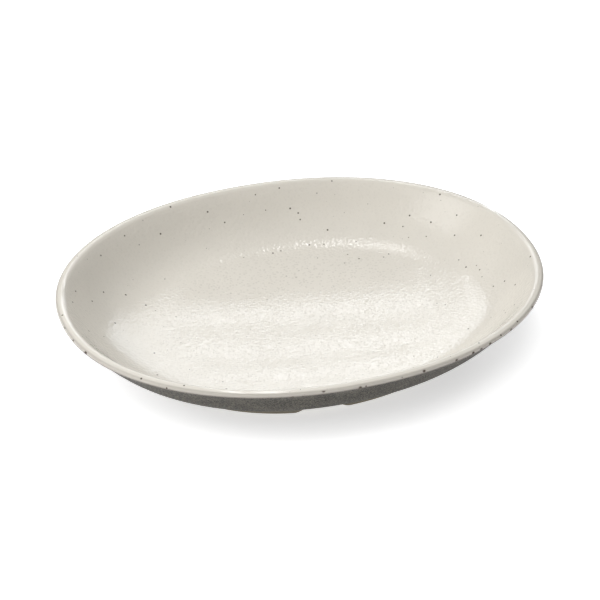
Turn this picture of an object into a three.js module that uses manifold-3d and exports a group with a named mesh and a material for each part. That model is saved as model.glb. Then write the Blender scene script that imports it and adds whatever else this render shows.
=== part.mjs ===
// Oval two-tone serving bowl, in millimetres, +Z up.
// The origin is the middle of the foot ring, on the surface that the bowl stands on.
// +X runs along the bowl's length and +Y across its width.
//
// The bowl is moulded in two shots that bond over their whole meeting face: a dark outer shell
// with the base and foot ring in it, and a speckled cream liner that also wraps over the lip.
import * as THREE from "three";
import { mergeVertices } from "three/addons/utils/BufferGeometryUtils.js";
import Module from "manifold-3d";

const wasm = await Module();
wasm.setup();

// Overall size
const LENGTH = 305;
const WIDTH = 246;
const HEIGHT = 44.7;
const OVAL_POWER = 2.11; // 2 is an ellipse, and more is a squarer oval

// Walls
const SHELL_WALL = 2.3;
const LINER_WALL = 2.2;
const BOND_GAP = 0.3; // the two shots stay separate solids

// Outer face of the shell, from its top edge to the foot. The two pulls shape the curve between.
const SHELL_TOP = 41.5;
const SHELL_INSET = 0.8; // from the lip's widest line in to the shell's top edge
const FLARE_PULL = { inset: 15.4, height: 27.1 };
const HEEL_PULL = { inset: 23.1, height: 11.8 };

// Foot ring and base
const FOOT_LENGTH = 201.6; // across the foot's outer faces, along the bowl
const FOOT_BREADTH = 164; // across the foot's outer faces, across the bowl
const FOOT_TOP = 8; // where the outer wall runs in to the foot
const FOOT_WIDTH = 5;
const FOOT_ROUND = 0.9;
const BASE_RISE = 1.8; // underside of the dished base above the standing surface, at its middle

// Drain gaps with ramped ends through the foot ring, one on each long side
const DRAIN_TURNS = [-99.5, 80.5]; // degrees round the oval from +X to the middle of each gap
const DRAIN_LENGTH = 34;
const DRAIN_RAMP = 10;
const DRAIN_DEPTH = 3.8;

// Lip
const LIP_ROLL = 1.75; // radius of the outer roll
const CREST_ROUND = 3.5; // radius of the inner roll
const CREST_INSET = 3.6; // from the lip's outer edge in to where the inner roll starts
const BEAD_REACH = 14; // the lip's extra thickness dies away over this height

// The lip keeps nearly one width all the way round. Further in, the sides are steeper than the ends.
const EVEN_REACH = 8;

// Facets
const TURN_STEPS = 72;
const WALL_STEPS = 9;
const BASE_STEPS = 6;
const ARC_STEPS = 4;
const LEAST_STEP = 1; // a profile point nearer than this below a trimmed end is left out

const HALF_LENGTH = LENGTH / 2;
const FOOT_HALF = FOOT_LENGTH / 2;
const SIDE_SHARE =
  (WIDTH / 2 - EVEN_REACH - FOOT_BREADTH / 2) / (HALF_LENGTH - FOOT_HALF - EVEN_REACH);

// Half the width of the oval whose half-length is given.
function halfWidth(halfLength) {
  if (halfLength < FOOT_HALF) return (halfLength * FOOT_BREADTH) / FOOT_LENGTH;
  const inset = HALF_LENGTH - halfLength;
  const even = EVEN_REACH * (1 - Math.exp(-inset / EVEN_REACH));
  return WIDTH / 2 - SIDE_SHARE * inset - (1 - SIDE_SHARE) * even;
}

// The point at a turn, in radians, round the oval of a given half-length and height.
function ovalPoint(halfLength, height, turn) {
  const cos = Math.cos(turn);
  const sin = Math.sin(turn);
  const sum = Math.abs(cos) ** OVAL_POWER + Math.abs(sin) ** OVAL_POWER;
  const swell = sum ** (-1 / OVAL_POWER);
  return new THREE.Vector3(
    halfLength * cos * swell,
    halfWidth(halfLength) * sin * swell,
    height,
  );
}

// A profile of (half-length, height) points, turned round the oval.
function ovalLathe(profile) {
  const geometry = new THREE.LatheGeometry(profile, TURN_STEPS);
  const place = geometry.getAttribute("position");
  for (let i = 0; i < place.count; i++) {
    const halfLength = Math.hypot(place.getX(i), place.getZ(i));
    const turn = Math.atan2(place.getX(i), place.getZ(i));
    const point = ovalPoint(halfLength, place.getY(i), turn);
    place.setXYZ(i, point.x, point.y, point.z);
  }
  geometry.computeVertexNormals();
  return geometry;
}

// Points along an arc in the profile plane, with its angles in degrees.
function arc(centre, radius, from, to) {
  const curve = new THREE.EllipseCurve(
    centre.x,
    centre.y,
    radius,
    radius,
    THREE.MathUtils.degToRad(from),
    THREE.MathUtils.degToRad(to),
    to < from,
  );
  return curve.getPoints(ARC_STEPS);
}

// The moulding line is the shell's outer face without its foot, from the centre out to the top edge.
function mouldingLine() {
  const at = (inset, height) => new THREE.Vector2(HALF_LENGTH - inset, height);
  const heel = new THREE.Vector2(FOOT_HALF, FOOT_TOP);
  const heelPull = at(HEEL_PULL.inset, HEEL_PULL.height);
  const wall = new THREE.CubicBezierCurve(
    heel,
    heelPull,
    at(FLARE_PULL.inset, FLARE_PULL.height),
    at(SHELL_INSET, SHELL_TOP),
  );
  // The base is a shallow dish: level in the middle, and running smoothly out in to the wall.
  const slope = (heelPull.y - heel.y) / (heelPull.x - heel.x);
  const corner = new THREE.Vector2(heel.x - (heel.y - BASE_RISE) / slope, BASE_RISE);
  const dish = new THREE.QuadraticBezierCurve(new THREE.Vector2(0, BASE_RISE), corner, heel);
  return {
    base: dish.getPoints(BASE_STEPS).slice(0, -1),
    wall: wall.getPoints(WALL_STEPS),
    rimTangent: wall.getTangent(1),
  };
}

const line = mouldingLine();

// The moulding line moved towards the inside of the bowl.
function raised(distance) {
  const points = [...line.base, ...line.wall];
  return points.map((point, i) => {
    if (i === 0) return new THREE.Vector2(0, point.y + distance);
    const last = i === points.length - 1;
    const along = last
      ? line.rimTangent
      : points[i + 1].clone().sub(points[i - 1]).normalize();
    return new THREE.Vector2(point.x - along.y * distance, point.y + along.x * distance);
  });
}

// The liner's inner face, thickened towards the lip so that it runs into the end of the inner roll.
function innerFace(thickness, rollEnd) {
  const outer = [...line.base, ...line.wall];
  const face = raised(thickness);
  const facing = new THREE.Vector2(-line.rimTangent.y, line.rimTangent.x);
  const extra = rollEnd.clone().sub(face[face.length - 1]).dot(facing);
  return face
    .map((point, i) => {
      const share = THREE.MathUtils.smoothstep(point.y, rollEnd.y - BEAD_REACH, rollEnd.y);
      return point.clone().addScaledVector(point.clone().sub(outer[i]).normalize(), extra * share);
    })
    .filter((point) => point.y < rollEnd.y - LEAST_STEP);
}

// Where a line through the last two points of a run reaches a height.
function reach(run, height) {
  const [a, b] = run.slice(-2);
  return new THREE.Vector2(a.x + ((b.x - a.x) * (height - a.y)) / (b.y - a.y), height);
}

// The points of a raised moulding line below a height, and one more at that height.
function raisedTo(distance, height) {
  const below = raised(distance).filter((point) => point.y < height - LEAST_STEP);
  return [...below, reach(below, height)];
}

// The moulding line's points inside a half-length, and one more at it.
function lineInside(halfLength) {
  const points = [...line.base, ...line.wall];
  const next = points.findIndex((point) => point.x > halfLength);
  const [a, b] = [points[next - 1], points[next]];
  return [...points.slice(0, next), a.clone().lerp(b, (halfLength - a.x) / (b.x - a.x))];
}

function shellProfile() {
  const inner = FOOT_HALF - FOOT_WIDTH;
  const footArc = (x, from, to) => arc({ x, y: FOOT_ROUND }, FOOT_ROUND, from, to);
  return [
    ...lineInside(inner),
    ...footArc(inner + FOOT_ROUND, 180, 270),
    ...footArc(FOOT_HALF - FOOT_ROUND, 270, 360),
    ...line.wall,
    ...raisedTo(SHELL_WALL, SHELL_TOP).reverse(),
  ];
}

function linerProfile() {
  const underside = SHELL_TOP + BOND_GAP;
  const whole = SHELL_WALL + BOND_GAP + LINER_WALL;
  // The inner roll touches the lip's top, and ends at the slope of the liner's inner face.
  const crestCentre = new THREE.Vector2(HALF_LENGTH - CREST_INSET, HEIGHT - CREST_ROUND);
  const faceAngle = 90 + THREE.MathUtils.radToDeg(line.rimTangent.angle());
  const rollCentre = new THREE.Vector2(HALF_LENGTH - LIP_ROLL, HEIGHT - LIP_ROLL);
  const lowest = THREE.MathUtils.radToDeg(Math.asin((underside - rollCentre.y) / LIP_ROLL));
  const innerRoll = arc(crestCentre, CREST_ROUND, 90, faceAngle);
  return [
    ...raisedTo(SHELL_WALL + BOND_GAP, underside),
    ...arc(rollCentre, LIP_ROLL, lowest, 90),
    ...innerRoll,
    ...innerFace(whole, innerRoll[innerRoll.length - 1]).reverse(),
  ];
}

function solidOf(geometry) {
  const bare = new THREE.BufferGeometry();
  bare.setAttribute("position", geometry.getAttribute("position"));
  bare.setIndex(geometry.getIndex());
  const merged = mergeVertices(bare, 1e-4);
  const corners = merged.getIndex().array;
  const kept = [];
  for (let i = 0; i < corners.length; i += 3) {
    const [a, b, c] = corners.slice(i, i + 3);
    if (a !== b && b !== c && c !== a) kept.push(a, b, c);
  }
  const mesh = new wasm.Mesh({
    numProp: 3,
    vertProperties: new Float32Array(merged.getAttribute("position").array),
    triVerts: new Uint32Array(kept),
  });
  return new wasm.Manifold(mesh);
}

function geometryOf(solid) {
  const mesh = solid.getMesh();
  const geometry = new THREE.BufferGeometry();
  geometry.setAttribute("position", new THREE.BufferAttribute(mesh.vertProperties, mesh.numProp));
  geometry.setIndex(new THREE.BufferAttribute(mesh.triVerts, 1));
  geometry.computeVertexNormals();
  return geometry;
}

// The space of one drain gap: a flat-topped wedge across the foot ring.
function drainGap(degrees) {
  const turn = THREE.MathUtils.degToRad(degrees);
  const below = 2; // the wedge runs on past the standing surface, at its ramps' own slope
  const half = DRAIN_LENGTH / 2 + (below * DRAIN_RAMP) / DRAIN_DEPTH;
  const top = DRAIN_LENGTH / 2 - DRAIN_RAMP;
  const outline = new THREE.Shape([
    new THREE.Vector2(-half, -below),
    new THREE.Vector2(half, -below),
    new THREE.Vector2(top, DRAIN_DEPTH),
    new THREE.Vector2(-top, DRAIN_DEPTH),
  ]);
  const depth = 3 * FOOT_WIDTH;
  const wedge = new THREE.ExtrudeGeometry(outline, { depth, bevelEnabled: false });
  wedge.translate(0, 0, -depth / 2);

  const middle = ovalPoint(FOOT_HALF - FOOT_WIDTH / 2, 0, turn);
  const step = 0.01;
  const along = ovalPoint(FOOT_HALF, 0, turn + step).sub(ovalPoint(FOOT_HALF, 0, turn - step));
  const up = new THREE.Vector3(0, 0, 1);
  along.normalize();
  const pose = new THREE.Matrix4().makeBasis(along, up, along.clone().cross(up));
  wedge.applyMatrix4(pose.setPosition(middle));
  return solidOf(wedge);
}

function outerShell() {
  const whole = solidOf(ovalLathe(shellProfile()));
  return geometryOf(DRAIN_TURNS.reduce((shell, turn) => shell.subtract(drainGap(turn)), whole));
}

function named(name, geometry, colour, roughness) {
  const material = new THREE.MeshStandardMaterial({ color: colour, roughness, metalness: 0 });
  const mesh = new THREE.Mesh(geometry, material);
  mesh.name = name;
  return mesh;
}

const bowl = new THREE.Group();
bowl.add(named("outer_shell", outerShell(), 0x5b584f, 0.55));
bowl.add(named("inner_liner", ovalLathe(linerProfile()), 0xe4dfd4, 0.32));

export default bowl;
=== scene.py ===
# Oval two-tone serving bowl: the visual model, laid out as an add-on and run as a script.
#
# Lengths are in metres, +Z is up, +X runs along the bowl and +Y across it. The bowl stands on z = 0.
# Two moulded pieces are made: a dark outer shell with its foot ring, and a speckled cream liner
# that wraps over the lip. Both are turned from a section that is carried round an oval.

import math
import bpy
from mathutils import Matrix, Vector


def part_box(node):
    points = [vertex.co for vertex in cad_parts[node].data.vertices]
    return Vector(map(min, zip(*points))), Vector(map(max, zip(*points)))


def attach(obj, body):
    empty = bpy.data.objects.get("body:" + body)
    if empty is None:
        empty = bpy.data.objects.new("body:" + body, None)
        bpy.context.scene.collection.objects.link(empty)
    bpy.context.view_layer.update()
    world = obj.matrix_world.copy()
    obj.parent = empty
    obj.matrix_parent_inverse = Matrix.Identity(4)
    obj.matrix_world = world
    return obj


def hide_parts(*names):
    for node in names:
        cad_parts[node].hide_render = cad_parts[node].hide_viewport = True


bl_info = {
    "name": "Oval Serving Bowl",
    "version": (1, 0, 0),
    "blender": (4, 5, 0),
    "location": "3D View > Sidebar > Serving Bowl",
    "description": "Builds a speckled two-tone oval serving bowl around its packed frame",
    "category": "Add Mesh",
}

import bmesh
import bpy
from bpy.props import FloatProperty, FloatVectorProperty, IntProperty, PointerProperty
from bpy.types import Operator, Panel, PropertyGroup
from mathutils import Quaternion, Vector

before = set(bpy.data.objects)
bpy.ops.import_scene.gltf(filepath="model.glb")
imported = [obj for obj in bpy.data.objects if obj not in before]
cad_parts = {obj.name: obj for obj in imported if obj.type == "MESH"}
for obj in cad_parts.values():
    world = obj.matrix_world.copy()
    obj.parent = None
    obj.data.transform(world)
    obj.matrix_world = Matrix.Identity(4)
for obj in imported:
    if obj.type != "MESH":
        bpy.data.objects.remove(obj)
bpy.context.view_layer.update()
LINER_LOW, LINER_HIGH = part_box("inner_liner")
SHELL_LOW, SHELL_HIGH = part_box("outer_shell")
MM = 0.001

DRAIN_TURNS = (math.radians(-99.5), math.radians(80.5))  # round the oval from +X
DRAIN_RAMP = 10 * MM  # length of each sloping end of a drain gap
DRAIN_SIDE = 4  # how far a gap reaches across the foot ring, in ring widths
TANGENT_TURN = 0.01  # a small turn, for the direction of the ring at a gap
ON_AXIS = 1e-6  # a section point nearer to the axis than this becomes one vertex


# Properties


class BowlShape(PropertyGroup):
    """Sizes of the bowl's section"""

    oval_power: FloatProperty(
        name="Oval power",
        description="2 is an ellipse, and more is a squarer oval",
        default=2.11,
        min=1.5,
        max=4,
    )
    shell_wall: FloatProperty(
        name="Shell wall",
        description="Thickness of the dark outer shell",
        default=2.3 * MM,
        unit="LENGTH",
    )
    liner_wall: FloatProperty(
        name="Liner wall",
        description="Thickness of the cream liner",
        default=2.2 * MM,
        unit="LENGTH",
    )
    bond_gap: FloatProperty(
        name="Bond gap",
        description="Space between the two mouldings",
        default=0.3 * MM,
        unit="LENGTH",
    )
    lip_roll: FloatProperty(
        name="Lip roll",
        description="Radius of the lip's outer edge",
        default=1.75 * MM,
        unit="LENGTH",
    )
    lip_fall: FloatProperty(
        name="Lip fall",
        description="How far the lip's top falls from its crest to its outer edge",
        default=0.36 * MM,
        unit="LENGTH",
    )
    crest_round: FloatProperty(
        name="Crest round",
        description="Radius of the lip's inner edge",
        default=3.5 * MM,
        unit="LENGTH",
    )
    crest_inset: FloatProperty(
        name="Crest inset",
        description="From the lip's outer edge to the highest point of its section",
        default=3.6 * MM,
        unit="LENGTH",
    )
    foot_length: FloatProperty(
        name="Foot length",
        description="Across the foot ring's outer faces, along the bowl",
        default=201.6 * MM,
        unit="LENGTH",
    )
    foot_breadth: FloatProperty(
        name="Foot breadth",
        description="Across the foot ring's outer faces, across the bowl",
        default=164 * MM,
        unit="LENGTH",
    )
    foot_width: FloatProperty(
        name="Foot width",
        description="Width of the foot ring",
        default=5 * MM,
        unit="LENGTH",
    )
    base_rise: FloatProperty(
        name="Base rise",
        description="Height of the underside at its middle",
        default=1.8 * MM,
        unit="LENGTH",
    )
    drain_depth: FloatProperty(
        name="Drain depth",
        description="Height of the gaps through the foot ring",
        default=3.8 * MM,
        unit="LENGTH",
    )
    drain_length: FloatProperty(
        name="Drain length",
        description="Length of each gap where it meets the table",
        default=34 * MM,
        unit="LENGTH",
    )
    turn_steps: IntProperty(
        name="Turn steps",
        description="Faces round the oval",
        default=384,
        min=48,
    )


class BowlFinish(PropertyGroup):
    """Colours and grain of the two resins"""

    cream: FloatVectorProperty(
        name="Cream",
        description="Colour of the liner",
        subtype="COLOR",
        default=(0.74, 0.705, 0.635),
        min=0,
        max=1,
    )
    # This colour is also used for the painted shade in the pebbles' hollows.
    speckle_and_pit_shade: FloatVectorProperty(
        name="Speckle",
        description="Colour of the fine specks in the liner",
        subtype="COLOR",
        default=(0.085, 0.07, 0.05),
        min=0,
        max=1,
    )
    # This colour is also used for the painted shade on the outside and the lower edge of the lip.
    lip_speckle_and_shade: FloatVectorProperty(
        name="Lip speckle",
        description="Colour of the larger specks along the lip's outer edge",
        subtype="COLOR",
        default=(0.045, 0.025, 0.014),
        min=0,
        max=1,
    )
    speck_radius: FloatProperty(
        name="Speck radius",
        description="Radius of the largest fine specks",
        default=0.8 * MM,
        unit="LENGTH",
    )
    pebble_size: FloatProperty(
        name="Pebble size",
        description="Spacing of the fine pebbling on the inside",
        default=2.2 * MM,
        unit="LENGTH",
    )
    charcoal: FloatVectorProperty(
        name="Charcoal",
        description="Colour of the outer shell",
        subtype="COLOR",
        default=(0.05, 0.0455, 0.036),
        min=0,
        max=1,
    )
    stipple_size: FloatProperty(
        name="Stipple size",
        description="Spacing of the grain on the outer shell",
        default=1.05 * MM,
        unit="LENGTH",
    )


class StudioSet(PropertyGroup):
    """Where the camera stands, and how bright the set is"""

    camera_turn: FloatProperty(
        name="Camera turn",
        description="Direction of the camera round the bowl, from the middle of its long front side",
        default=math.radians(-20.18),
        subtype="ANGLE",
    )
    camera_elevation: FloatProperty(
        name="Camera elevation",
        description="Angle of the camera above the table, seen from the middle of the foot",
        default=math.radians(33.4),
        subtype="ANGLE",
    )
    camera_distance: FloatProperty(
        name="Camera distance",
        description="From the middle of the foot",
        default=1.1369,
        unit="LENGTH",
    )
    aim_height: FloatProperty(
        name="Aim height",
        description="Height of the point that the camera looks at",
        default=25.96 * MM,
        unit="LENGTH",
    )
    aim_left: FloatProperty(
        name="Aim left",
        description="How far the camera looks to the left of the middle",
        default=1.2 * MM,
        unit="LENGTH",
    )
    lens: FloatProperty(
        name="Lens",
        description="Focal length in millimetres",
        default=108,
    )
    brightness: FloatProperty(
        name="Brightness",
        description="Scales every lamp",
        default=1.0,
        min=0,
    )


# Sections. A section point is (half-length of the oval, height).


def smooth_step(t):
    """Rises gently from 0 to 1 as t does."""
    t = min(max(t, 0), 1)
    return t * t * (3 - 2 * t)


def bezier(points, steps):
    """Points along a Bezier curve, both ends included."""
    curve = []
    for i in range(steps + 1):
        t = i / steps
        level = [Vector(point) for point in points]
        while len(level) > 1:
            level = [a.lerp(b, t) for a, b in zip(level, level[1:])]
        curve.append(level[0])
    return curve


def arc(centre, radius, start, end, steps):
    """Points along an arc, with its angles in radians."""
    angles = [start + (end - start) * i / steps for i in range(steps + 1)]
    return [
        Vector((centre[0] + radius * math.cos(a), centre[1] + radius * math.sin(a)))
        for a in angles
    ]


class Section:
    """The bowl's section, worked out from the frame's boxes and the shape properties."""

    SHELL_INSET = 0.8 * MM
    FLARE_PULL = Vector((15.4 * MM, 27.1 * MM))  # inset and height
    HEEL_PULL = Vector((23.1 * MM, 11.8 * MM))
    FOOT_TOP = 8 * MM
    FOOT_ROUND = 0.9 * MM
    EVEN_REACH = 8 * MM  # the lip keeps nearly one width all the way round
    EDGE_ROUND = 0.3 * MM
    BEAD_REACH = 14 * MM  # the lip's extra thickness dies away over this height
    WALL_STEPS = 44
    BASE_STEPS = 22
    EDGE_STEPS = 4
    FOOT_STEPS = 7
    OUTER_ROLL_STEPS = 14
    INNER_ROLL_STEPS = 12
    FOOT_CLEARANCE = 2 * MM  # the underside's own points stop this far inside the foot ring
    FOOT_FILLET = 1.2 * MM  # and a small curve runs into the ring from here
    FOOT_DROPS = (MM, 2.5 * MM, 4 * MM, 5.5 * MM)  # down the ring's inner face
    FOOT_RISES = (2 * MM, 3.2 * MM, 4.4 * MM, 5.6 * MM, 6.6 * MM)  # up its outer face

    def __init__(self, shape):
        self.shape = shape
        self.half_length = LINER_HIGH.x
        self.breadth_half = LINER_HIGH.y
        self.height = LINER_HIGH.z
        self.shell_top = SHELL_HIGH.z
        self.foot_half = shape.foot_length / 2
        foot_inset = self.half_length - self.foot_half
        side_inset = self.breadth_half - shape.foot_breadth / 2
        reach = self.EVEN_REACH
        self.side_share = (side_inset - reach) / (foot_inset - reach)
        heel = Vector((self.foot_half, self.FOOT_TOP))
        heel_pull = self.at(self.HEEL_PULL)
        top = self.at(Vector((self.SHELL_INSET, self.shell_top)))
        self.wall = bezier((heel, heel_pull, self.at(self.FLARE_PULL), top), self.WALL_STEPS)
        slope = (heel_pull.y - heel.y) / (heel_pull.x - heel.x)
        rise = shape.base_rise
        corner = Vector((heel.x - (heel.y - rise) / slope, rise))
        self.base = bezier((Vector((0, rise)), corner, heel), self.BASE_STEPS)[:-1]
        self.rim_direction = (self.wall[-1] - self.wall[-2]).normalized()

    def at(self, inset_and_height):
        return Vector((self.half_length - inset_and_height.x, inset_and_height.y))

    def half_width(self, half_length):
        """Half the width of the oval whose half-length is given."""
        if half_length < self.foot_half:
            return half_length * self.shape.foot_breadth / self.shape.foot_length
        inset = self.half_length - half_length
        even = self.EVEN_REACH * (1 - math.exp(-inset / self.EVEN_REACH))
        return self.breadth_half - self.side_share * inset - (1 - self.side_share) * even

    def point(self, section_point, turn):
        """The place of a section point, carried a turn round the oval."""
        cos, sin = math.cos(turn), math.sin(turn)
        power = self.shape.oval_power
        swell = (abs(cos) ** power + abs(sin) ** power) ** (-1 / power)
        half_length, height = section_point
        across = self.half_width(half_length)
        return Vector((half_length * cos * swell, across * sin * swell, height))

    def raised(self, distance):
        """The outer face without its foot, moved towards the inside of the bowl."""
        line = self.base + self.wall
        moved = []
        for i, point in enumerate(line):
            if i == 0:
                along = Vector((1, 0))
            elif i == len(line) - 1:
                along = self.rim_direction
            else:
                along = (line[i + 1] - line[i - 1]).normalized()
            moved.append(point + Vector((-along.y, along.x)) * distance)
        return moved

    def beaded(self, thickness, lip_end):
        """The inner face, thickened towards the lip so that it runs into the end of the lip's roll."""
        line = self.raised(thickness)
        facing = Vector((-self.rim_direction.y, self.rim_direction.x))
        extra = (lip_end - line[-1]).dot(facing)
        face = []
        for outer, inner in zip(self.base + self.wall, line):
            share = smooth_step(1 - (lip_end.y - inner.y) / self.BEAD_REACH)
            face.append(inner + (inner - outer).normalized() * extra * share)
        return [point for point in face if point.y < lip_end.y - self.EDGE_ROUND]

    def raised_to(self, distance, height):
        """The raised line, trimmed or carried on straight to a height."""
        run = [point for point in self.raised(distance) if point.y < height - self.EDGE_ROUND]
        along = self.rim_direction
        end = run[-1] + along * ((height - run[-1].y) / along.y)
        return run + [end]

    def shell(self):
        """The dark shell's closed section, and for each point whether it is on the foot ring."""
        inner = self.foot_half - self.shape.foot_width
        round_foot = self.FOOT_ROUND
        base = [point for point in self.base if point.x < inner - self.FOOT_CLEARANCE]
        ceiling = self.base_height(inner)
        edge = self.EDGE_ROUND
        straight_down, flat, straight_up = math.pi, 1.5 * math.pi, 2 * math.pi
        foot = [Vector((inner, ceiling - drop)) for drop in self.FOOT_DROPS]
        foot += arc(
            (inner + round_foot, round_foot), round_foot, straight_down, flat, self.FOOT_STEPS
        )
        outer = self.foot_half - round_foot
        foot += arc((outer, round_foot), round_foot, flat, straight_up, self.FOOT_STEPS)
        foot += [Vector((self.foot_half, rise)) for rise in self.FOOT_RISES]
        fillet_start = inner - self.FOOT_FILLET
        inside_fillet = bezier(
            (
                Vector((fillet_start, self.base_height(fillet_start))),
                Vector((inner, ceiling)),
                foot[0],
            ),
            self.EDGE_STEPS,
        )[:-1]
        heel_end = next(i for i, point in enumerate(self.wall) if point.x > self.foot_half + MM)
        heel_fillet = bezier(
            (foot[-1], Vector((self.foot_half, self.FOOT_TOP)), self.wall[heel_end]),
            self.EDGE_STEPS,
        )[1:-1]
        wall = self.wall[heel_end:-1]
        rim = self.wall[-1]
        outer_edge = bezier(
            (rim - self.rim_direction * edge, rim, rim - Vector((edge, 0))), self.EDGE_STEPS
        )
        inside = self.raised_to(self.shape.shell_wall, self.shell_top)
        top = inside[-1] + Vector((edge, 0))
        section = base + inside_fillet + foot + heel_fillet + wall + outer_edge + [top]
        section += reversed(inside[:-1])
        first = len(base) + len(inside_fillet) - 1
        last = len(base) + len(inside_fillet) + len(foot) + len(heel_fillet)
        return section, [first <= i < last for i in range(len(section))]

    def base_height(self, half_length):
        """Height of the dished underside."""
        for a, b in zip(self.base, self.base[1:] + self.wall[:1]):
            if a.x <= half_length <= b.x:
                return a.y + (b.y - a.y) * (half_length - a.x) / (b.x - a.x)
        raise ValueError("the point is outside the base")

    def liner(self):
        """The cream liner's closed section, with a mark for each of its points.

        The mark is 1 on the lip's outside and top, a half on its inner roll, and 0 elsewhere.
        """
        shape = self.shape
        gap = shape.bond_gap
        underside = self.shell_top + gap
        whole = shape.shell_wall + gap + shape.liner_wall
        bonded = self.raised_to(shape.shell_wall + gap, underside)
        roll = shape.lip_roll
        roll_centre = (self.half_length - roll, self.height - shape.lip_fall - roll)
        lowest = math.asin((underside + self.EDGE_ROUND - roll_centre[1]) / roll)
        crest = shape.crest_round
        crest_centre = Vector((self.half_length - shape.crest_inset, self.height - crest))
        face_angle = math.pi / 2 + math.atan2(self.rim_direction.y, self.rim_direction.x)
        fall = math.atan2(shape.lip_fall, roll_centre[0] - crest_centre.x)
        outer_roll = arc(roll_centre, roll, lowest, math.pi / 2 - fall, self.OUTER_ROLL_STEPS)
        under_edge = bezier(
            (
                Vector((outer_roll[0].x - 2 * self.EDGE_ROUND, underside)),
                Vector((outer_roll[0].x - 0.2 * self.EDGE_ROUND, underside)),
                outer_roll[0],
            ),
            self.EDGE_STEPS,
        )[:-1]
        inner_roll = arc(
            crest_centre, crest, math.pi / 2 - fall, face_angle, self.INNER_ROLL_STEPS
        )
        lip_top = bezier((outer_roll[-1], inner_roll[0]), self.EDGE_STEPS)[1:-1]
        inside = self.beaded(whole, inner_roll[-1])
        outer_lip = under_edge + outer_roll + lip_top
        section = bonded + outer_lip + inner_roll + inside[::-1]
        marks = [0] * len(bonded) + [1] * len(outer_lip) + [0.5] * len(inner_roll) + [0] * len(inside)
        return section, marks


# Meshes


def turned_piece(name, section, profile, marks, mark_name):
    """A closed mesh: a profile from axis to axis, carried round the oval. marks is kept per point."""
    steps = section.shape.turn_steps
    mesh = bmesh.new()
    mark = mesh.verts.layers.float.new(mark_name)
    rings = []
    for point, marked in zip(profile, marks):
        if point.x < ON_AXIS:
            ring = [mesh.verts.new((0, 0, point.y))]
        else:
            turns = [2 * math.pi * i / steps for i in range(steps)]
            ring = [mesh.verts.new(section.point(point, turn)) for turn in turns]
        for vertex in ring:
            vertex[mark] = float(marked)
        rings.append(ring)
    for low, high in zip(rings, rings[1:]):
        for i in range(steps):
            j = (i + 1) % steps
            if len(low) == 1:
                corners = (low[0], high[j], high[i])
            elif len(high) == 1:
                corners = (low[i], low[j], high[0])
            else:
                corners = (low[i], low[j], high[j], high[i])
            mesh.faces.new(corners)
    bmesh.ops.recalc_face_normals(mesh, faces=mesh.faces)
    for face in mesh.faces:
        face.smooth = True
    data = bpy.data.meshes.new(name)
    mesh.to_mesh(data)
    mesh.free()
    piece = bpy.data.objects.new(name, data)
    bpy.context.scene.collection.objects.link(piece)
    return piece


def lift_drain_gaps(piece, section):
    """Raise the foot ring over each drain gap. Its ends ramp up from the table."""
    shape = section.shape
    middle_line = section.foot_half - shape.foot_width / 2
    marks = piece.data.attributes["foot"].data
    for turn in DRAIN_TURNS:
        centre = section.point((middle_line, 0), turn)
        along = (section.point((middle_line, 0), turn + TANGENT_TURN) - centre).normalized()
        for vertex, mark in zip(piece.data.vertices, marks):
            if mark.value < 0.5:
                continue
            away = vertex.co - centre
            offset = away.dot(along)
            if (away - along * offset).length > DRAIN_SIDE * shape.foot_width:
                continue
            share = (shape.drain_length / 2 - abs(offset)) / DRAIN_RAMP
            lift = shape.drain_depth * smooth_step(share)
            vertex.co.z = lift + vertex.co.z * (1 - lift / section.FOOT_TOP)


# Finishes


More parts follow.
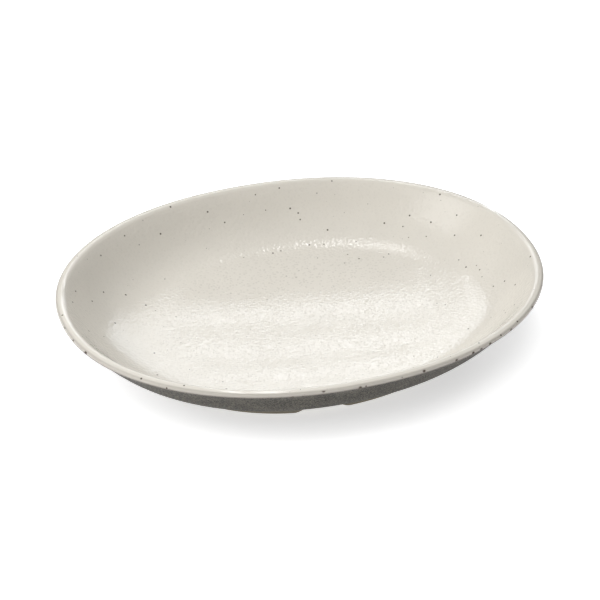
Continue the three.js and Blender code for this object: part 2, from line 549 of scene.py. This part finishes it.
class Finish:
    """A procedural material that is being put together."""

    MIX_INPUTS = (0, 6, 7)  # share, first colour, second colour
    MIX_OUTPUT = 2

    def __init__(self, name):
        self.material = bpy.data.materials.new(name)
        self.material.use_nodes = True
        self.tree = self.material.node_tree
        self.shader = self.tree.nodes["Principled BSDF"]
        self.place = self.node("ShaderNodeTexCoord").outputs["Object"]

    def node(self, kind, inputs=None, **settings):
        made = self.tree.nodes.new(kind)
        for key, value in settings.items():
            setattr(made, key, value)
        for key, value in (inputs or {}).items():
            if isinstance(value, bpy.types.NodeSocket):
                self.tree.links.new(value, made.inputs[key])
            else:
                made.inputs[key].default_value = value
        return made

    def math(self, operation, first, second):
        return self.node("ShaderNodeMath", {0: first, 1: second}, operation=operation).outputs[0]

    def ramp(self, value, low, high, to_low=0.0, to_high=1.0):
        inputs = {"Value": value, "From Min": low, "From Max": high}
        inputs.update({"To Min": to_low, "To Max": to_high})
        made = self.node("ShaderNodeMapRange", inputs, interpolation_type="SMOOTHSTEP")
        return made.outputs["Result"]

    def height(self):
        return self.node("ShaderNodeSeparateXYZ", {0: self.place}).outputs["Z"]

    def mark(self, name):
        return self.node("ShaderNodeAttribute", attribute_name=name).outputs["Fac"]

    def noise(self, size, detail=2.0, roughness=0.5):
        inputs = {"Vector": self.place, "Scale": 1 / size, "Detail": detail}
        inputs["Roughness"] = roughness
        return self.node("ShaderNodeTexNoise", inputs).outputs["Fac"]

    def cells(self, size, **settings):
        inputs = {"Vector": self.place, "Scale": 1 / size}
        return self.node("ShaderNodeTexVoronoi", inputs, **settings)

    def mix(self, share, first, second):
        made = self.node("ShaderNodeMix", data_type="RGBA")
        for index, value in zip(self.MIX_INPUTS, (share, first, second)):
            if isinstance(value, bpy.types.NodeSocket):
                self.tree.links.new(value, made.inputs[index])
            else:
                made.inputs[index].default_value = value
        return made.outputs[self.MIX_OUTPUT]

    def specks(self, spacing, radius, share):
        """Round specks of mixed sizes: a share of the cells of a random grid hold one."""
        cells = self.cells(spacing)
        chance = self.node("ShaderNodeSeparateColor", {0: cells.outputs["Color"]})
        present = self.ramp(chance.outputs["Red"], 1 - share, 1 - 0.4 * share, 0.35, 1.0)
        chosen = self.math("GREATER_THAN", chance.outputs["Red"], 1 - share)
        reach = self.math("MULTIPLY", present, radius / spacing)
        inside = self.math("DIVIDE", cells.outputs["Distance"], reach)
        spot = self.ramp(inside, 1.0, 0.55)
        return self.math("MULTIPLY", spot, chosen)

    def bump(self, height, depth, normal=None):
        inputs = {"Height": height, "Distance": depth, "Strength": 1.0}
        if normal is not None:
            inputs["Normal"] = normal
        return self.node("ShaderNodeBump", inputs).outputs["Normal"]

    def set(self, **values):
        for key, value in values.items():
            socket = self.shader.inputs[key.replace("_", " ").title()]
            if isinstance(value, bpy.types.NodeSocket):
                self.tree.links.new(value, socket)
            else:
                socket.default_value = value


def colour(rgb, factor=1.0):
    return tuple(channel * factor for channel in rgb) + (1.0,)


GLOW_REACH = (1.0, 3.0)  # metres from the bowl
GLOW_STRENGTH = (0.6, 1.0)

# Pairs of heights over which a part of the liner's colour comes in, painted shade on the lip among them
FLOOR_TO_WALL = (9 * MM, 15 * MM)  # the floor gives way to the wall
PAINTED_LIP_SHADE = (44.5 * MM, 44.1 * MM)  # painted shade: the outside of the lip is darker
PAINTED_LIP_EDGE_SHADE = (43.4 * MM, 42.0 * MM)  # painted shade along the lip's lower edge, just above the shell
LIP_SPECKS = (44.2 * MM, 43.5 * MM)  # the larger brown specks
PAINTED_LIP_SHADE_STRENGTH = 0.32
PAINTED_EDGE_SHADE_STRENGTH = 0.72
FAINT_STRENGTH = 0.35
PEBBLE_DEPTH = 0.14 * MM
STIPPLE_DEPTH = 0.7 * MM


def cream_resin(finish):
    """Satin cream resin with dark specks, pebbled inside and smooth on the lip, with painted shade in
    the pebbles' hollows and on the lip's outside and lower edge.
    """
    made = Finish("cream_resin")
    mark = made.mark("lip")
    inside = made.ramp(mark, 0.5, 0.0)
    outer_lip = made.ramp(mark, 0.5, 1.0)
    height = made.height()
    wall = made.ramp(height, *FLOOR_TO_WALL)
    pebbles = made.cells(finish.pebble_size, feature="SMOOTH_F1")
    pebbles.inputs["Smoothness"].default_value = 0.25
    pebble = pebbles.outputs["Distance"]
    grain = made.noise(0.8 * finish.pebble_size, 2.0, 0.6)

    cloud = made.noise(26 * MM, 3.0)
    even = made.mix(made.ramp(cloud, 0.35, 0.65), colour(finish.cream, 0.985), colour(finish.cream))
    # Painted shade: the pebbles' hollows are darkened towards the colour of the fine specks, more on
    # the floor than on the wall.
    painted_pit_shade = made.math("MULTIPLY", made.ramp(pebble, 0.45, 0.15), inside)
    painted_pit_shade = made.math("MULTIPLY", painted_pit_shade, made.ramp(wall, 0.0, 1.0, 0.13, 0.03))
    cream = made.mix(painted_pit_shade, even, colour(finish.speckle_and_pit_shade))

    fine = made.specks(spacing=5.15 * MM, radius=finish.speck_radius, share=0.5)
    faint = made.specks(spacing=4.1 * MM, radius=finish.speck_radius / 2, share=0.35)
    faint = made.math("MULTIPLY", faint, FAINT_STRENGTH)
    low = made.ramp(wall, 0.0, 0.6, 0.25, 1.0)
    strength = made.math("MULTIPLY", made.math("MAXIMUM", fine, faint), low)
    speckled = made.mix(made.math("MULTIPLY", strength, 0.95), cream, colour(finish.speckle_and_pit_shade))

    # Painted shade: the outside of the lip is darkened towards the colour of its larger specks.
    painted_lip_shade_mask = made.math("MULTIPLY", made.ramp(height, *PAINTED_LIP_SHADE), outer_lip)
    shade = made.math("MULTIPLY", painted_lip_shade_mask, PAINTED_LIP_SHADE_STRENGTH)
    darker = made.mix(shade, speckled, colour(finish.lip_speckle_and_shade))
    # Painted shade: the lip's lower edge, just above the shell, is darkened further.
    painted_edge_shade = made.math("MULTIPLY", made.ramp(height, *PAINTED_LIP_EDGE_SHADE, 0.0, PAINTED_EDGE_SHADE_STRENGTH), outer_lip)
    lip_with_edge_shade = made.mix(painted_edge_shade, darker, colour(finish.lip_speckle_and_shade))
    brown = made.specks(spacing=4.4 * MM, radius=1.7 * MM, share=0.65)
    edge_specks = made.math("MULTIPLY", brown, made.ramp(height, *LIP_SPECKS))
    final = made.mix(made.math("MULTIPLY", edge_specks, outer_lip), lip_with_edge_shade, colour(finish.lip_speckle_and_shade))

    relief = made.math("ADD", pebble, made.math("MULTIPLY", grain, 0.6))
    relief = made.math("MULTIPLY", relief, made.ramp(wall, 0.0, 1.0, 0.33, 1.0))
    relief = made.math("MULTIPLY", relief, inside)
    made.set(base_color=final, roughness=0.085, normal=made.bump(relief, PEBBLE_DEPTH))
    made.shader.inputs["IOR"].default_value = 1.5
    return made.material


def charcoal_resin(finish):
    """Dark grey-brown resin with a fine stipple, smooth on the foot ring, which carries painted light.
    """
    made = Finish("charcoal_resin")
    foot = made.mark("foot")
    grain = made.noise(finish.stipple_size, 3.0, 0.65)
    patches = made.noise(14 * MM, 2.0)
    tone = made.math("ADD", made.math("MULTIPLY", grain, 0.88), made.math("MULTIPLY", patches, 0.12))
    dark, light = colour(finish.charcoal, 0.3), colour(finish.charcoal, 2.1)
    rough_colour = made.mix(made.ramp(tone, 0.43, 0.57), dark, light)
    # Painted light: the smooth foot ring is six times as light as the shell, standing in for light
    # thrown on it by the bright table.
    final = made.mix(foot, rough_colour, colour(finish.charcoal, 6.0))
    relief = made.math("MULTIPLY", grain, made.math("SUBTRACT", 1.0, foot))
    made.set(
        base_color=final,
        roughness=made.ramp(foot, 0.0, 1.0, 0.5, 0.38),
        normal=made.bump(relief, STIPPLE_DEPTH),
    )
    made.shader.inputs["Specular IOR Level"].default_value = 0.12
    return made.material


def table_finish():
    """A pale matt table that glows a little, and more far away, so that it runs into the white."""
    made = Finish("pale_table")
    cloud = made.noise(0.4, 2.0)
    tone = made.mix(cloud, (0.9, 0.9, 0.905, 1.0), (0.915, 0.915, 0.92, 1.0))
    away = made.node("ShaderNodeVectorMath", {0: made.place}, operation="LENGTH").outputs["Value"]
    glow = made.ramp(away, *GLOW_REACH, *GLOW_STRENGTH)
    made.set(base_color=tone, roughness=0.9, emission_strength=glow)
    made.shader.inputs["Emission Color"].default_value = (1.0, 1.0, 1.0, 1.0)
    made.shader.inputs["Specular IOR Level"].default_value = 0.0
    return made.material


# Operators


class BOWL_OT_shell(Operator):
    """Build the dark outer shell with its foot ring and drain gaps"""

    bl_idname = "bowl.shell"
    bl_label = "Outer Shell"
    bl_options = {"REGISTER", "UNDO"}

    def execute(self, context):
        scene = context.scene
        section = Section(scene.bowl_shape)
        profile, foot = section.shell()
        shell = turned_piece("shell", section, profile, foot, "foot")
        lift_drain_gaps(shell, section)
        shell.data.materials.append(charcoal_resin(scene.bowl_finish))
        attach(shell, "root")
        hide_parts("outer_shell")
        return {"FINISHED"}


class BOWL_OT_liner(Operator):
    """Build the speckled cream liner that wraps over the lip"""

    bl_idname = "bowl.liner"
    bl_label = "Inner Liner"
    bl_options = {"REGISTER", "UNDO"}

    def execute(self, context):
        scene = context.scene
        section = Section(scene.bowl_shape)
        profile, lip = section.liner()
        liner = turned_piece("liner", section, profile, lip, "lip")
        liner.data.materials.append(cream_resin(scene.bowl_finish))
        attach(liner, "root")
        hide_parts("inner_liner")
        return {"FINISHED"}


class BOWL_OT_stage(Operator):
    """Set out the table, the soft lamps and the camera"""

    bl_idname = "bowl.stage"
    bl_label = "Stage"
    bl_options = {"REGISTER", "UNDO"}

    TABLE_HALF = 8.0
    SKY_STRENGTH = 0.03
    LAMP_REACH = 1.6  # from the bowl to the lamps that it reflects
    FILL_REACH = 1.8  # and to the fills
    WINDOW_TURN = 1  # degrees, as are the yaw, the heights and the elevations
    WINDOW_YAW = -8.7
    WINDOW_ROLL = math.radians(18)
    WINDOW_WIDTH = 1.1
    WINDOW_HEIGHT = 2.1
    WINDOW_ELEVATIONS = (17.8, 23.5, 29.2, 34.9)
    WINDOW_RADIANCE = 5.3
    WINDOW_COLOUR = (0.915, 0.957, 1.0)

    def execute(self, context):
        studio = context.scene.bowl_studio
        self.turn = studio.camera_turn
        self.power = studio.brightness
        self.table()
        self.sky(context.scene)
        self.lamps()
        self.camera(context.scene, studio)
        return {"FINISHED"}

    def direction(self, turn, elevation):
        """A direction from the bowl. Turn 0 is straight behind it, and positive turns go right."""
        right = Vector((math.cos(self.turn), math.sin(self.turn), 0))
        behind = Vector((-math.sin(self.turn), math.cos(self.turn), 0))
        level = right * math.sin(turn) + behind * math.cos(turn)
        return level * math.cos(elevation) + Vector((0, 0, math.sin(elevation)))

    def table(self):
        mesh = bmesh.new()
        size = self.TABLE_HALF
        bmesh.ops.create_grid(mesh, x_segments=8, y_segments=8, size=size)
        data = bpy.data.meshes.new("table")
        mesh.to_mesh(data)
        mesh.free()
        table = bpy.data.objects.new("table", data)
        bpy.context.scene.collection.objects.link(table)
        table.data.materials.append(table_finish())

    def sky(self, scene):
        """Dim air round the set, white where the camera looks past the table."""
        world = bpy.data.worlds.new("studio_air")
        world.use_nodes = True
        tree = world.node_tree
        tree.nodes["Background"].inputs["Color"].default_value = (1.0, 1.0, 1.0, 1.0)
        strength = tree.nodes.new("ShaderNodeMapRange")
        strength.inputs["To Min"].default_value = self.SKY_STRENGTH * self.power
        strength.inputs["To Max"].default_value = 1.0
        looks = tree.nodes.new("ShaderNodeLightPath")
        tree.links.new(looks.outputs["Is Camera Ray"], strength.inputs["Value"])
        tree.links.new(strength.outputs["Result"], tree.nodes["Background"].inputs["Strength"])
        scene.world = world
        scene.view_settings.view_transform = "Standard"
        scene.view_settings.look = "None"

    def softbox(self, name, turn, elevation, size, radiance, distance, yaw=0.0, roll=0.0):
        """A flat lamp that faces the bowl. Its radiance doesn't change with its size."""
        width, height = size
        lamp = bpy.data.lights.new(name, "AREA")
        lamp.shape = "RECTANGLE"
        lamp.size = width
        lamp.size_y = height
        lamp.energy = radiance * math.pi * width * height * self.power
        place = bpy.data.objects.new(name, lamp)
        place.location = self.direction(math.radians(turn), math.radians(elevation)) * distance
        back = self.direction(math.radians(turn + yaw), math.radians(elevation))
        place.rotation_mode = "QUATERNION"
        facing = (-back).to_track_quat("-Z", "Y")
        place.rotation_quaternion = facing @ Quaternion((0, 0, 1), roll)
        place.visible_camera = False
        bpy.context.scene.collection.objects.link(place)
        return place

    def lamps(self):
        """Window strips behind, three small lamps overhead, a key at the left, and soft fills.

        Each lamp is its name, turn and elevation in degrees, width and height, and radiance.
        """
        size = (self.WINDOW_WIDTH, self.LAMP_REACH * math.radians(self.WINDOW_HEIGHT))
        for i, elevation in enumerate(self.WINDOW_ELEVATIONS):
            strip = self.softbox(
                f"window_{i + 1}",
                self.WINDOW_TURN,
                elevation,
                size,
                self.WINDOW_RADIANCE,
                self.LAMP_REACH,
                self.WINDOW_YAW,
                self.WINDOW_ROLL,
            )
            strip.data.color = self.WINDOW_COLOUR
        reflected = (
            ("overhead_left", -11.4, 61, (0.05, 0.42), 9.5),
            ("overhead_middle", -2.2, 60, (0.085, 0.42), 7.5),
            ("overhead_right", 8, 59, (0.13, 0.4), 0.9),
            ("key", -108, 42, (0.9, 0.7), 1.9),
        )
        for lamp in reflected:
            self.softbox(*lamp, self.LAMP_REACH)
        fills = (
            ("key_fill", -108, 42, (1.1, 0.8), 3.45),
            ("ceiling", 0, 90, (1.6, 1.6), 1.1),
            ("front_left_fill", -135, 30, (1.2, 0.8), 1.3),
            ("front_fill", 180, 60, (1.2, 0.8), 3.4),
            ("back_right_fill", 45, 30, (0.8, 0.6), 3.2),
            ("back_left_fill", -45, 30, (0.8, 0.6), 1.6),
        )
        for fill in fills:
            # bounced light, with no shape to reflect
            self.softbox(*fill, self.FILL_REACH).visible_glossy = False

    def camera(self, scene, studio):
        data = bpy.data.cameras.new("camera")
        data.lens = studio.lens
        data.sensor_width = 36
        camera = bpy.data.objects.new("camera", data)
        scene.collection.objects.link(camera)
        back = self.direction(math.pi, studio.camera_elevation)
        camera.location = back * studio.camera_distance
        left = self.direction(-math.pi / 2, 0) * studio.aim_left
        aim = left + Vector((0, 0, studio.aim_height))
        camera.rotation_mode = "QUATERNION"
        camera.rotation_quaternion = (aim - camera.location).to_track_quat("-Z", "Y")
        scene.camera = camera


class BOWL_PT_build(Panel):
    """Sizes, finishes and build steps of the serving bowl"""

    bl_idname = "BOWL_PT_build"
    bl_label = "Oval Serving Bowl"
    bl_space_type = "VIEW_3D"
    bl_region_type = "UI"
    bl_category = "Serving Bowl"

    def draw(self, context):
        layout = self.layout
        scene = context.scene
        for group in (scene.bowl_shape, scene.bowl_finish, scene.bowl_studio):
            box = layout.box()
            for key in group.__annotations__:
                box.prop(group, key)
        for operator in OPERATORS:
            layout.operator(operator.bl_idname)


GROUPS = {"bowl_shape": BowlShape, "bowl_finish": BowlFinish, "bowl_studio": StudioSet}
OPERATORS = (BOWL_OT_shell, BOWL_OT_liner, BOWL_OT_stage)


def register():
    for kind in (*GROUPS.values(), *OPERATORS, BOWL_PT_build):
        bpy.utils.register_class(kind)
    for name, group in GROUPS.items():
        setattr(bpy.types.Scene, name, PointerProperty(type=group))


def unregister():
    for name in GROUPS:
        delattr(bpy.types.Scene, name)
    for kind in (BOWL_PT_build, *reversed(OPERATORS), *reversed(GROUPS.values())):
        bpy.utils.unregister_class(kind)


def main():
    register()
    bpy.ops.bowl.shell()
    bpy.ops.bowl.liner()
    bpy.ops.bowl.stage()


if __name__ == "__main__":
    main()
